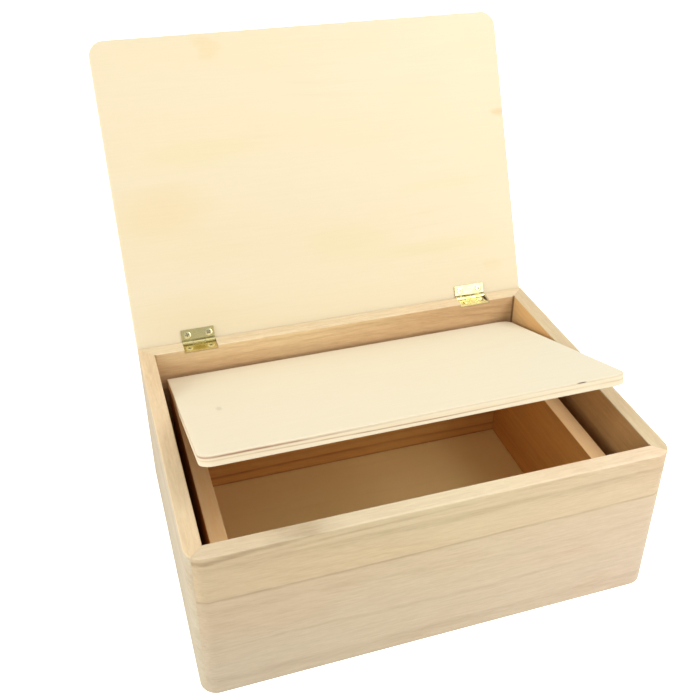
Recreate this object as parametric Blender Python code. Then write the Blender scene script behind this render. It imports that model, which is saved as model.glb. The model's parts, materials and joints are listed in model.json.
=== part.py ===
"""Wooden art supply box.

A mitred wooden box with a full-size plywood lid on two brass butt hinges.
Three dividers stand inside it, and a plywood board covers them, hinged at
its back edge to the tops of the two long dividers.

Frame: metres, +Z up, the box front faces -Y, its left wall is at -X, and the
origin is the middle of its footprint on the table. The lid stands open and
the board is tilted up, as in use.
"""

import math

import bmesh
import bpy
from mathutils import Matrix, Vector

MM = 0.001
GAP = 0.3 * MM

# Box walls
BOX_WIDTH = 350 * MM
BOX_DEPTH = 250 * MM
BOX_HEIGHT = 131 * MM
WALL = 12.5 * MM
OUTER_EASE = 1.2 * MM
INNER_EASE = 0.7 * MM
CORNER_STEPS = 7

# Floor, held in a rabbet around the foot of the walls and flush with their feet
FLOOR_BOTTOM = 0 * MM
FLOOR_TOP = 4 * MM
RABBET = 6 * MM

# Dividers
DIVIDER = 12.5 * MM
DIVIDER_TOP = 98.5 * MM
LEFT_DIVIDER_X = -154.2 * MM
RIGHT_DIVIDER_X = 138.4 * MM
BACK_DIVIDER_Y = 82.5 * MM
DIVIDER_EASE = 0.6 * MM

# Lid
LID_THICKNESS = 8 * MM
LID_CLEARANCE = 0.4 * MM
LID_OPEN = math.radians(114.3)
LID_EASE = 1.0 * MM

# Lid hinges: the rim is pocketed for the whole folded hinge, whose upper leaf
# lies on the lid, so the pin is below the rim and level with the back face
LID_HINGE_X = 124.0 * MM
LID_HINGE_WIDTH = 27.5 * MM
LID_LEAF_LENGTH = 11.5 * MM
LID_LEAF_THICKNESS = 0.95 * MM
LID_LEAF_OFFSET = 0.7 * MM
LID_BARREL_RADIUS = 1.75 * MM
LID_FACE_OFFSET = LID_BARREL_RADIUS + 0.25 * MM
LID_PIN_Y = 124.3 * MM
LID_PIN_Z = BOX_HEIGHT + LID_CLEARANCE - LID_FACE_OFFSET
LID_PIN_RADIUS = 0.8 * MM
LID_SCREW_SPREAD = 9 * MM
LID_SCREW_REACH = 7.0 * MM
LID_SCREW_HEAD = 3.0 * MM
LID_SCREW_SHANK = 1.3 * MM
LID_SCREW_LENGTH = 6.5 * MM
HINGE_SIDES = (("left", -1), ("right", 1))

# Tilting board
BOARD_LEFT = -155.4 * MM
BOARD_LENGTH = 312.5 * MM
BOARD_DEPTH = 201 * MM
BOARD_THICKNESS = 8 * MM
BOARD_CLEARANCE = 0.5 * MM
BOARD_TILT = math.radians(19.4)
BOARD_CORNER = 10 * MM
BOARD_EASE = 0.7 * MM
BOARD_BACK_OFFSET = 1.0 * MM

# Board hinges, let into the tops of the long dividers
BOARD_PIN_Y = 108.2 * MM
BOARD_PIN_Z = DIVIDER_TOP + BOARD_CLEARANCE / 2
BOARD_HINGE_WIDTH = 9 * MM
BOARD_LEAF_LENGTH = 13 * MM
BOARD_LEAF_THICKNESS = 0.9 * MM
BOARD_LEAF_OFFSET = BOARD_CLEARANCE / 2
BOARD_BARREL_RADIUS = 1.3 * MM
BOARD_PIN_RADIUS = 0.5 * MM
BOARD_SCREW_REACH = 7.5 * MM
BOARD_SCREW_HEAD = 2.1 * MM
BOARD_SCREW_SHANK = 0.9 * MM
BOARD_SCREW_LENGTH = 6 * MM

# Hinge detail
PIN_CLEARANCE = 0.2 * MM
KNUCKLE_SHARE = 0.38
ROUND_STEPS = 24
SCREW_STEPS = 20
SMOOTH_ANGLE = math.radians(35)
OVERRUN = 4 * MM

WOOD_ROUGHNESS = 0.62
BRASS_ROUGHNESS = 0.24


def clear_scene():
    for obj in list(bpy.data.objects):
        bpy.data.objects.remove(obj, do_unlink=True)


def material(name, colour, roughness, metallic=0.0):
    made = bpy.data.materials.new(name)
    made.use_nodes = True
    shader = made.node_tree.nodes["Principled BSDF"]
    shader.inputs["Base Color"].default_value = (*colour, 1.0)
    shader.inputs["Roughness"].default_value = roughness
    shader.inputs["Metallic"].default_value = metallic
    return made


def wood(name, colour):
    return material("mat_" + name, colour, WOOD_ROUGHNESS)


def brass(name):
    return material("mat_" + name, (0.80, 0.58, 0.20), BRASS_ROUGHNESS, 1.0)


def add_object(name, bm, made_material, location=(0.0, 0.0, 0.0), smooth=False):
    bmesh.ops.recalc_face_normals(bm, faces=bm.faces)
    mesh = bpy.data.meshes.new(name)
    bm.to_mesh(mesh)
    bm.free()
    if made_material is not None:
        mesh.materials.append(made_material)
    if smooth:
        mesh.shade_smooth()
        mesh.set_sharp_from_angle(angle=SMOOTH_ANGLE)
    obj = bpy.data.objects.new(name, mesh)
    obj.location = location
    bpy.context.scene.collection.objects.link(obj)
    return obj


def add_cutter(name, bm, location=(0.0, 0.0, 0.0)):
    cutter = add_object(name, bm, None, location)
    cutter.hide_render = True
    cutter.display_type = "WIRE"
    return cutter


def cut(obj, cutter, operation="DIFFERENCE"):
    boolean = obj.modifiers.new(cutter.name, "BOOLEAN")
    boolean.object = cutter
    boolean.operation = operation
    boolean.solver = "EXACT"


def add_prism(bm, outline, low, high, axis="Z"):
    """Extrude a closed outline from low to high along Z or along X."""
    def place(point, level):
        if axis == "Z":
            return Vector((point[0], point[1], level))
        return Vector((level, point[0], point[1]))

    bottom = [bm.verts.new(place(point, low)) for point in outline]
    top = [bm.verts.new(place(point, high)) for point in outline]
    bm.faces.new(list(reversed(bottom)))
    bm.faces.new(top)
    for i in range(len(outline)):
        j = (i + 1) % len(outline)
        bm.faces.new((bottom[i], bottom[j], top[j], top[i]))


def prism(outline, low, high, axis="Z"):
    bm = bmesh.new()
    add_prism(bm, outline, low, high, axis)
    bmesh.ops.recalc_face_normals(bm, faces=bm.faces)
    return bm


def rectangle(x0, x1, y0, y1):
    return [(x0, y0), (x1, y0), (x1, y1), (x0, y1)]


def arc(centre, radius, start, end, steps):
    points = []
    for i in range(steps + 1):
        angle = start + (end - start) * i / steps
        points.append((centre[0] + radius * math.cos(angle),
                       centre[1] + radius * math.sin(angle)))
    return points


def ease(bm, width, chosen):
    """Round over every edge that the test picks out."""
    edges = [edge for edge in bm.edges if chosen(*[vert.co for vert in edge.verts])]
    bmesh.ops.bevel(bm, geom=edges, offset=width, segments=2, profile=0.5,
                    affect="EDGES", clamp_overlap=True)


def near(a, b):
    return abs(a - b) < 0.01 * MM


def turned(bm, profile, steps, centre=(0.0, 0.0, 0.0), axis="Z", flip=False):
    """Turn a profile of (radius, height) pairs that starts and ends on its axis."""
    def place(radius, height, angle):
        height = -height if flip else height
        across = radius * math.cos(angle)
        along = radius * math.sin(angle)
        if axis == "Z":
            offset = Vector((across, along, height))
        else:
            offset = Vector((height, across, along))
        return Vector(centre) + offset

    rings = []
    for radius, height in profile:
        if radius == 0.0:
            rings.append([bm.verts.new(place(0.0, height, 0.0))])
        else:
            rings.append([bm.verts.new(place(radius, height, 2 * math.pi * i / steps))
                          for i in range(steps)])
    for first, second in zip(rings, rings[1:]):
        for i in range(steps):
            j = (i + 1) % steps
            if len(first) == 1:
                bm.faces.new((first[0], second[i], second[j]))
            elif len(second) == 1:
                bm.faces.new((first[i], first[j], second[0]))
            else:
                bm.faces.new((first[i], first[j], second[j], second[i]))


def cylinder(bm, radius, low, high, centre=(0.0, 0.0, 0.0), axis="Z", steps=ROUND_STEPS):
    turned(bm, [(0.0, low), (radius, low), (radius, high), (0.0, high)],
           steps, centre, axis)


# ---------------------------------------------------------------- box walls

def mitred_wall(half_length, half_depth, quarter_turns, rounded_ends):
    """One wall, made as the front one and turned into place.

    Its ends are mitred. A rounded end, left or right as seen from outside,
    carries half of a rounded corner, and the others come to a square one."""
    gap_angle = math.asin(GAP / 2 / WALL)
    shift = GAP / 2 * math.sqrt(2)
    left = [(-half_length - WALL + shift, -half_depth - WALL)]
    right = [(half_length + WALL - shift, -half_depth - WALL)]
    if "left" in rounded_ends:
        left = arc((-half_length, -half_depth), WALL,
                   math.radians(225) + gap_angle, math.radians(270), CORNER_STEPS)
    if "right" in rounded_ends:
        right = arc((half_length, -half_depth), WALL,
                    math.radians(270), math.radians(315) - gap_angle, CORNER_STEPS)
    inner = [(half_length - shift, -half_depth), (-half_length + shift, -half_depth)]
    bm = prism(left + right + inner, 0.0, BOX_HEIGHT)

    def inside(point):
        return near(point.y, -half_depth) and abs(point.x) < half_length

    def outer_rim(a, b):
        level = near(a.z, b.z)
        return level and not inside(a) and not inside(b)

    def inner_rim(a, b):
        return near(a.z, BOX_HEIGHT) and near(b.z, BOX_HEIGHT) and inside(a) and inside(b)

    ease(bm, OUTER_EASE, outer_rim)
    ease(bm, INNER_EASE, inner_rim)
    bmesh.ops.rotate(bm, verts=bm.verts, cent=(0, 0, 0),
                     matrix=Matrix.Rotation(quarter_turns * math.pi / 2, 3, "Z"))
    return bm


def leaf_pocket(side):
    """Section of the pocket that a board hinge's leaf and barrel are let into.

    side is -1 for the pocket in a divider and 1 for the one in the board."""
    leaf_length = BOARD_LEAF_LENGTH
    face = BOARD_LEAF_OFFSET + BOARD_LEAF_THICKNESS + GAP
    barrel = BOARD_BARREL_RADIUS + GAP
    points = [(-leaf_length - GAP, -side * OVERRUN),
              (-leaf_length - GAP, side * face),
              (-barrel - GAP, side * face),
              (-barrel, side * barrel),
              (2 * OVERRUN, side * barrel),
              (2 * OVERRUN, -side * OVERRUN)]
    return points if side < 0 else list(reversed(points))


def add_pockets(bm, centres, width, section):
    half = width / 2 + GAP
    for centre in centres:
        add_prism(bm, section, centre - half, centre + half, "X")


def screw_hole(bm, x, y, top, side, head, shank, length):
    """Hole for a screw whose head lies in a leaf; side -1 drives it downwards."""
    turned(bm, [(0.0, -OVERRUN), (head + GAP, -OVERRUN), (head + GAP, 0.1 * MM),
                (shank + GAP, 1.5 * MM), (shank + GAP, length + 2 * GAP),
                (0.0, length + 2 * GAP)],
           SCREW_STEPS, (x, y, top), "Z", flip=side < 0)


def turn_about_pin(bm, angle):
    bmesh.ops.rotate(bm, verts=bm.verts, cent=(0, 0, 0),
                     matrix=Matrix.Rotation(angle, 3, "X"))


def make_walls(hinge_centres):
    inner_x = BOX_WIDTH / 2 - WALL
    inner_y = BOX_DEPTH / 2 - WALL
    rabbet = add_cutter("cut_floor_rabbet", prism(
        rectangle(-inner_x - RABBET, inner_x + RABBET, -inner_y - RABBET, inner_y + RABBET),
        -OVERRUN, FLOOR_TOP + GAP))
    walls = {}
    plan = (("front_panel", inner_x, inner_y, 0, ("left", "right")),
            ("right_panel", inner_y, inner_x, 1, ("left",)),
            ("back_panel", inner_x, inner_y, 2, ()),
            ("left_panel", inner_y, inner_x, 3, ("right",)))
    for name, half_length, half_depth, turns, rounded_ends in plan:
        walls[name] = add_object(
            name, mitred_wall(half_length, half_depth, turns, rounded_ends),
            wood(name, (0.73, 0.57, 0.36)))
        cut(walls[name], rabbet)

    pin = (0.0, LID_PIN_Y, LID_PIN_Z)
    depth = LID_BARREL_RADIUS + GAP
    pockets = bmesh.new()
    add_pockets(pockets, hinge_centres, LID_HINGE_WIDTH,
                rectangle(-WALL - OVERRUN, OVERRUN, -depth, OVERRUN))
    pockets = add_cutter("cut_back_wall_pockets", pockets, pin)
    holes = bmesh.new()
    for centre in hinge_centres:
        for spread in (-LID_SCREW_SPREAD, LID_SCREW_SPREAD):
            screw_hole(holes, centre + spread, -LID_SCREW_REACH, -LID_LEAF_OFFSET, -1,
                       LID_SCREW_HEAD, LID_SCREW_SHANK, LID_SCREW_LENGTH)
    holes = add_cutter("cut_back_wall_holes", holes, pin)
    cut(walls["back_panel"], pockets)
    cut(walls["back_panel"], holes)


# ------------------------------------------------- floor, dividers and board

def make_floor():
    inner_x = BOX_WIDTH / 2 - WALL + RABBET - GAP
    inner_y = BOX_DEPTH / 2 - WALL + RABBET - GAP
    add_object("floor_panel", prism(rectangle(-inner_x, inner_x, -inner_y, inner_y),
                                    FLOOR_BOTTOM, FLOOR_TOP),
               wood("floor_panel", (0.55, 0.38, 0.21)))


def divider(name, x0, x1, y0, y1):
    bm = prism(rectangle(x0, x1, y0, y1), FLOOR_TOP + GAP, DIVIDER_TOP)
    along_y = y1 - y0 > x1 - x0

    def long_top(a, b):
        run = abs(a.y - b.y) if along_y else abs(a.x - b.x)
        return near(a.z, DIVIDER_TOP) and near(b.z, DIVIDER_TOP) and run > 2 * DIVIDER

    ease(bm, DIVIDER_EASE, long_top)
    return add_object(name, bm, wood(name, (0.70, 0.52, 0.32)))


def make_dividers(hinge_centres):
    end = BOX_DEPTH / 2 - WALL - GAP
    long_dividers = [
        divider("left_divider", LEFT_DIVIDER_X, LEFT_DIVIDER_X + DIVIDER, -end, end),
        divider("right_divider", RIGHT_DIVIDER_X, RIGHT_DIVIDER_X + DIVIDER, -end, end)]
    divider("back_divider", LEFT_DIVIDER_X + DIVIDER + GAP, RIGHT_DIVIDER_X - GAP,
            BACK_DIVIDER_Y, BACK_DIVIDER_Y + DIVIDER)

    pin = (0.0, BOARD_PIN_Y, BOARD_PIN_Z)
    pockets = bmesh.new()
    add_pockets(pockets, hinge_centres, BOARD_HINGE_WIDTH, leaf_pocket(-1))
    pockets = add_cutter("cut_divider_pockets", pockets, pin)
    holes = bmesh.new()
    for centre in hinge_centres:
        screw_hole(holes, centre, -BOARD_SCREW_REACH, -BOARD_LEAF_OFFSET, -1,
                   BOARD_SCREW_HEAD, BOARD_SCREW_SHANK, BOARD_SCREW_LENGTH)
    holes = add_cutter("cut_divider_holes", holes, pin)
    for obj in long_dividers:
        cut(obj, pockets)
        cut(obj, holes)


def panel(x0, x1, y0, y1, low, high, radii, width):
    """A flat panel with every edge rounded over by the width given.

    The radii of its corners are in the order front left, front right, back
    right, back left, and a corner of radius 0 is square."""
    corners = ((x0, y0, 180), (x1, y0, 270), (x1, y1, 0), (x0, y1, 90))
    outline = []
    square = []
    for (x, y, start), radius in zip(corners, radii):
        if radius == 0.0:
            square.append((x, y))
            outline.append((x, y))
            continue
        centre = (x + math.copysign(radius, -x), y + (radius if y == y0 else -radius))
        outline += arc(centre, radius, math.radians(start),
                       math.radians(start + 90), 2 * CORNER_STEPS)
    bm = prism(outline, low, high)

    def rim_or_square_corner(a, b):
        upright = any(near(a.x, x) and near(b.x, x) and near(a.y, y) and near(b.y, y)
                      for x, y in square)
        return near(a.z, b.z) or upright

    ease(bm, width, rim_or_square_corner)
    return bm


def make_board(hinge_centres):
    pin = (0.0, BOARD_PIN_Y, BOARD_PIN_Z)
    back = -BOARD_BACK_OFFSET
    low = BOARD_CLEARANCE / 2
    high = low + BOARD_THICKNESS
    bm = panel(BOARD_LEFT, BOARD_LEFT + BOARD_LENGTH, back - BOARD_DEPTH, back, low, high,
               (BOARD_CORNER, BOARD_CORNER, BOARD_CORNER, 0.0), BOARD_EASE)
    turn_about_pin(bm, -BOARD_TILT)
    board = add_object("tilt_board", bm, wood("tilt_board", (0.88, 0.77, 0.56)), pin)

    pockets = bmesh.new()
    add_pockets(pockets, hinge_centres, BOARD_HINGE_WIDTH, leaf_pocket(1))
    turn_about_pin(pockets, -BOARD_TILT)
    cut(board, add_cutter("cut_board_pockets", pockets, pin))
    holes = bmesh.new()
    for centre in hinge_centres:
        screw_hole(holes, centre, -BOARD_SCREW_REACH, BOARD_LEAF_OFFSET, 1,
                   BOARD_SCREW_HEAD, BOARD_SCREW_SHANK, BOARD_SCREW_LENGTH)
    turn_about_pin(holes, -BOARD_TILT)
    cut(board, add_cutter("cut_board_holes", holes, pin))


# ----------------------------------------------------------------------- lid

def make_lid(hinge_centres):
    pin = (0.0, LID_PIN_Y, LID_PIN_Z)
    half = BOX_WIDTH / 2
    back = BOX_DEPTH / 2 - LID_PIN_Y
    low = LID_FACE_OFFSET
    bm = panel(-half, half, back - BOX_DEPTH, back, low, low + LID_THICKNESS,
               (WALL, WALL, 0.0, 0.0), LID_EASE)
    turn_about_pin(bm, -LID_OPEN)
    lid = add_object("lid_panel", bm, wood("lid_panel", (0.92, 0.80, 0.57)), pin)

    holes = bmesh.new()
    for centre in hinge_centres:
        for spread in (-LID_SCREW_SPREAD, LID_SCREW_SPREAD):
            screw_hole(holes, centre + spread, -LID_SCREW_REACH, LID_LEAF_OFFSET, 1,
                       LID_SCREW_HEAD, LID_SCREW_SHANK, LID_SCREW_LENGTH)
    turn_about_pin(holes, -LID_OPEN)
    cut(lid, add_cutter("cut_lid_holes", holes, pin))


# -------------------------------------------------------------------- hinges

class Hinge:
    """A three-knuckle butt hinge with countersunk leaves."""

    def __init__(self, name, x, pin, turn, sizes, screws):
        self.name = name
        self.location = (x, pin[0], pin[1])
        self.turn = turn
        self.width, self.leaf_length, self.thickness = sizes[:3]
        self.barrel, self.pin_radius, self.offset = sizes[3:]
        self.spreads, self.reach, self.head, self.shank, self.screw_length = screws
        self.knuckle = self.width * KNUCKLE_SHARE / 2

    def spans(self, moving):
        """X ranges of the knuckles that this leaf carries."""
        half = self.width / 2
        if moving:
            return ((-half, -self.knuckle - GAP / 2), (self.knuckle + GAP / 2, half))
        return ((-self.knuckle + GAP / 2, self.knuckle - GAP / 2),)

    def leaf(self, name, moving):
        side = 1 if moving else -1
        half = self.width / 2
        low = self.offset
        high = self.offset + self.thickness
        section = [(-self.leaf_length, side * low), (0.0, side * low),
                   (0.0, side * high), (-self.leaf_length, side * high)]
        angle = -self.turn if moving else 0.0

        plate = prism(section, -half, half, "X")
        turn_about_pin(plate, angle)
        leaf = add_object(name, plate, brass(name), self.location, smooth=True)

        clearing = bmesh.new()
        reach = self.barrel + GAP
        for start, end in self.spans(not moving):
            start = start - OVERRUN if near(start, -half) else start - GAP
            end = end + OVERRUN if near(end, half) else end + GAP
            add_prism(clearing, rectangle(-reach, reach + OVERRUN, -reach, reach),
                      start, end, "X")
        turn_about_pin(clearing, angle)
        cut(leaf, add_cutter(name + "_clearing", clearing, self.location))

        knuckles = bmesh.new()
        for start, end in self.spans(moving):
            cylinder(knuckles, self.barrel, start, end, axis="X")
        cut(leaf, add_cutter(name + "_knuckles", knuckles, self.location), "UNION")

        bore = bmesh.new()
        cylinder(bore, self.pin_radius + PIN_CLEARANCE, -half - OVERRUN, half + OVERRUN,
                 axis="X", steps=16)
        cut(leaf, add_cutter(name + "_bore", bore, self.location))

        holes = bmesh.new()
        for spread in self.spreads:
            turned(holes, [(0.0, -0.5 * MM), (self.head + 0.25 * MM, -0.5 * MM),
                           (self.head + 0.15 * MM, 0.0),
                           (self.shank + 0.5 * MM, self.thickness + 0.1 * MM),
                           (self.shank + 0.5 * MM, self.thickness + 0.5 * MM),
                           (0.0, self.thickness + 0.5 * MM)],
                   SCREW_STEPS, (spread, -self.reach, side * low), "Z", flip=not moving)
        turn_about_pin(holes, angle)
        cut(leaf, add_cutter(name + "_holes", holes, self.location))

    def make_pin(self):
        half = self.width / 2
        dome = 0.3 * MM
        bm = bmesh.new()
        turned(bm, [(0.0, -half - dome), (self.pin_radius * 0.7, -half - dome * 0.6),
                    (self.pin_radius, -half), (self.pin_radius, half),
                    (self.pin_radius * 0.7, half + dome * 0.6), (0.0, half + dome)],
               16, (0, 0, 0), "X")
        add_object(self.name + "_pin", bm, brass(self.name + "_pin"),
                   self.location, smooth=True)

    def make_screws(self, master, moving, label):
        for number, spread in enumerate(self.spreads, 1):
            name = "%s_%s_screw_%d" % (self.name, label, number)
            mesh = master.copy()
            mesh.name = name
            side = 1 if moving else -1
            seat = Vector((spread, -self.reach, side * self.offset))
            turn = Matrix.Rotation(0.0 if moving else math.pi, 4, "X")
            spin = Matrix.Rotation(0.5 + 0.9 * number, 4, "Z")
            placed = Matrix.Translation(seat) @ turn @ spin
            if moving:
                placed = Matrix.Rotation(-self.turn, 4, "X") @ placed
            mesh.transform(placed)
            mesh.materials.clear()
            mesh.materials.append(brass(name))
            screw = bpy.data.objects.new(name, mesh)
            screw.location = self.location
            bpy.context.scene.collection.objects.link(screw)


def screw_mesh(head, shank, length):
    """A countersunk screw along +Z, its head face at zero, with a cross recess."""
    bm = bmesh.new()
    dome = 0.15 * MM
    turned(bm, [(0.0, -dome), (head * 0.45, -dome * 0.85), (head * 0.8, -dome * 0.4),
                (head, 0.05 * MM), (shank + 0.25 * MM, 0.95 * MM), (shank, 1.25 * MM),
                (shank, length * 0.8), (shank * 0.35, length), (0.0, length)],
           SCREW_STEPS)
    blank = add_object("screw_blank", bm, None, smooth=True)
    arm = head * 0.55
    blade = head * 0.12
    cross = [(-arm, -blade), (-blade, -blade), (-blade, -arm), (blade, -arm),
             (blade, -blade), (arm, -blade), (arm, blade), (blade, blade),
             (blade, arm), (-blade, arm), (-blade, blade), (-arm, blade)]
    recess = add_cutter("cut_screw_recess", prism(cross, -2 * dome, 0.55 * MM))
    cut(blank, recess)
    graph = bpy.context.evaluated_depsgraph_get()
    mesh = bpy.data.meshes.new_from_object(blank.evaluated_get(graph))
    bpy.data.objects.remove(blank, do_unlink=True)
    bpy.data.objects.remove(recess, do_unlink=True)
    return mesh


def make_lid_hinges(hinge_centres):
    master = screw_mesh(LID_SCREW_HEAD, LID_SCREW_SHANK, LID_SCREW_LENGTH)
    sizes = (LID_HINGE_WIDTH, LID_LEAF_LENGTH, LID_LEAF_THICKNESS,
             LID_BARREL_RADIUS, LID_PIN_RADIUS, LID_LEAF_OFFSET)
    screws = ((-LID_SCREW_SPREAD, LID_SCREW_SPREAD), LID_SCREW_REACH,
              LID_SCREW_HEAD, LID_SCREW_SHANK, LID_SCREW_LENGTH)
    for (label, _), centre in zip(HINGE_SIDES, hinge_centres):
        hinge = Hinge("lid_hinge_" + label, centre, (LID_PIN_Y, LID_PIN_Z),
                      LID_OPEN, sizes, screws)
        hinge.leaf(hinge.name + "_box_leaf", False)
        hinge.leaf(hinge.name + "_lid_leaf", True)
        hinge.make_pin()
        hinge.make_screws(master, False, "box")
        hinge.make_screws(master, True, "lid")


def make_board_hinges(hinge_centres):
    master = screw_mesh(BOARD_SCREW_HEAD, BOARD_SCREW_SHANK, BOARD_SCREW_LENGTH)
    sizes = (BOARD_HINGE_WIDTH, BOARD_LEAF_LENGTH, BOARD_LEAF_THICKNESS,
             BOARD_BARREL_RADIUS, BOARD_PIN_RADIUS, BOARD_LEAF_OFFSET)
    screws = ((0.0,), BOARD_SCREW_REACH, BOARD_SCREW_HEAD, BOARD_SCREW_SHANK,
              BOARD_SCREW_LENGTH)
    for (label, _), centre in zip(HINGE_SIDES, hinge_centres):
        hinge = Hinge("board_hinge_" + label, centre, (BOARD_PIN_Y, BOARD_PIN_Z),
                      BOARD_TILT, sizes, screws)
        hinge.leaf(hinge.name + "_divider_leaf", False)
        hinge.leaf(hinge.name + "_board_leaf", True)
        hinge.make_pin()
        hinge.make_screws(master, False, "divider")
        hinge.make_screws(master, True, "board")


def main():
    clear_scene()
    lid_centres = [side * LID_HINGE_X for _, side in HINGE_SIDES]
    board_centres = [LEFT_DIVIDER_X + DIVIDER / 2, RIGHT_DIVIDER_X + DIVIDER / 2]
    make_walls(lid_centres)
    make_floor()
    make_dividers(board_centres)
    make_board(board_centres)
    make_lid(lid_centres)
    make_lid_hinges(lid_centres)
    make_board_hinges(board_centres)


main()
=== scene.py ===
"""Looks of the wooden art supply box: materials, glue lines, floor, light and camera."""

import json
import math

import bmesh
import bpy
from mathutils import Matrix, Vector


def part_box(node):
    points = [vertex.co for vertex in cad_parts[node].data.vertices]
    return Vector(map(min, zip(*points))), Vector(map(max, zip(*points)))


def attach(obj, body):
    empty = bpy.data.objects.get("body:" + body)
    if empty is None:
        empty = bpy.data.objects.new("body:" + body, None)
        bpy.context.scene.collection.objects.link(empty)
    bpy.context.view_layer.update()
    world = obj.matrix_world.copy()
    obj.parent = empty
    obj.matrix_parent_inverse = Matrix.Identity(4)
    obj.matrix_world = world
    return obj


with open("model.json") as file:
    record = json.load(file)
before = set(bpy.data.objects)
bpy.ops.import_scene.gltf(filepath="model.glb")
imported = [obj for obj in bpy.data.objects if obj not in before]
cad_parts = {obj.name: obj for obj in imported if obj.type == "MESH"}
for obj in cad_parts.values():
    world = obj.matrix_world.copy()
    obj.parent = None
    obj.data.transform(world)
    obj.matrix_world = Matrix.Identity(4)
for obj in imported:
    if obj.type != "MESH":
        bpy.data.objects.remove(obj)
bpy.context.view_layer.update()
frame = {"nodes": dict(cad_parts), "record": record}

MM = 0.001
JOINTS = {joint["name"]: joint for joint in frame["record"]["behaviour"]["joints"]}

HALF_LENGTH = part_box("right_panel")[1].x
HALF_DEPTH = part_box("back_panel")[1].y
BOX_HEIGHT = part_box("back_panel")[1].z
WALL = 12.5 * MM
INNER_X = HALF_LENGTH - WALL
INNER_Y = HALF_DEPTH - WALL
DIVIDER_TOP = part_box("left_divider")[1].z
SHEET = 8 * MM
FLOOR_TOP = 4 * MM
# Half the width over which the look of the left side turns into that of the right
SIDE_BLEND = 0.01
WHITE = (1.0, 1.0, 1.0)


def srgb(red, green, blue):
    """Colour as a paint chart gives it, from 0 to 255, as the linear values of a shader."""
    def linear(value):
        value = value / 255.0
        return value / 12.92 if value <= 0.04045 else ((value + 0.055) / 1.055) ** 2.4
    return tuple(linear(value) for value in (red, green, blue))


# ------------------------------------------------------------------ node trees

# Share of a blot's radius that has its full strength
BLOT_CORE = 0.25


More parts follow.
